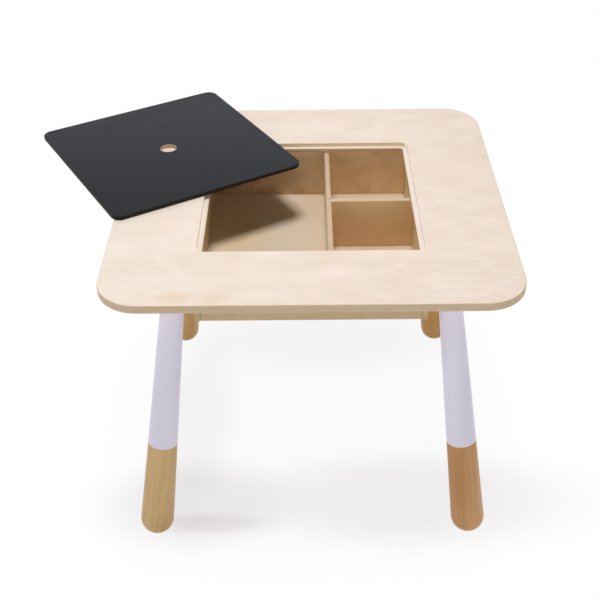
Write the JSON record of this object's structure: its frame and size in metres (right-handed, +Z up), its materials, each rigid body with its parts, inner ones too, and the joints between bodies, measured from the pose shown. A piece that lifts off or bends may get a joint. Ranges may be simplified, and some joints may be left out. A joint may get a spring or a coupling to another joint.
{
  "type": "children's table",
  "caption": "Square children's table with rounded corners and splayed turned legs. A divided storage box hangs under an opening closed by a loose chalkboard lid.",
  "frame": {"origin": "on the floor, under the middle of the whole model's bounding box with the lid lying off to the left and back; the tabletop's own centre is over x = 0.0717, y = -0.0284", "axes": "+Z up, -Y to the front, from which the picture was taken, +X to the right"},
  "size_m": [0.6814, 0.5948, 0.4463],
  "materials": {
    "birch_face": "clear matt lacquer on birch plywood",
    "birch_box": "clear matt lacquer on birch plywood",
    "chalkboard": "matt black chalkboard paint on plywood",
    "painted_leg": "satin lilac-white paint above, bare lacquered wood on the foot",
    "block_wood": "planed hardwood",
    "dowel_wood": "plain beech",
    "steel": "zinc plated",
    "zinc": "yellow zinc plated"
  },
  "bodies": {
    "table": {"tabletop": "birch_face", "box_side_left": "birch_box", "box_side_right": "birch_box", "box_front": "birch_box", "box_back": "birch_box", "box_floor": "birch_box", "long_divider": "birch_box", "cross_divider": "birch_box", "leg_front_left": "painted_leg", "leg_front_right": "painted_leg", "leg_back_left": "painted_leg", "leg_back_right": "painted_leg", "block_front_left": "block_wood", "block_front_right": "block_wood", "block_back_left": "block_wood", "block_back_right": "block_wood", "bolt_front_left": "steel", "bolt_front_right": "steel", "bolt_back_left": "steel", "bolt_back_right": "steel", "insert_front_left": "zinc", "insert_front_right": "zinc", "insert_back_left": "zinc", "insert_back_right": "zinc", "block_screw_front_left_1": "steel", "block_screw_front_left_2": "steel", "block_screw_front_right_1": "steel", "block_screw_front_right_2": "steel", "block_screw_back_left_1": "steel", "block_screw_back_left_2": "steel", "block_screw_back_right_1": "steel", "block_screw_back_right_2": "steel", "top_dowel_front_1": "dowel_wood", "top_dowel_front_2": "dowel_wood", "top_dowel_back_1": "dowel_wood", "top_dowel_back_2": "dowel_wood", "top_dowel_left_1": "dowel_wood", "top_dowel_left_2": "dowel_wood", "top_dowel_right_1": "dowel_wood", "top_dowel_right_2": "dowel_wood", "corner_dowel_front_left_1": "dowel_wood", "corner_dowel_front_left_2": "dowel_wood", "corner_dowel_front_right_1": "dowel_wood", "corner_dowel_front_right_2": "dowel_wood", "corner_dowel_back_left_1": "dowel_wood", "corner_dowel_back_left_2": "dowel_wood", "corner_dowel_back_right_1": "dowel_wood", "corner_dowel_back_right_2": "dowel_wood"},
    "lid": {"lid": "chalkboard"}
  },
  "joints": [
    {"name": "lid_lift", "type": "slide", "parent": "table", "child": "lid", "axis": [0, 0, 1], "range_m": [0, 0.15]}
  ]
}
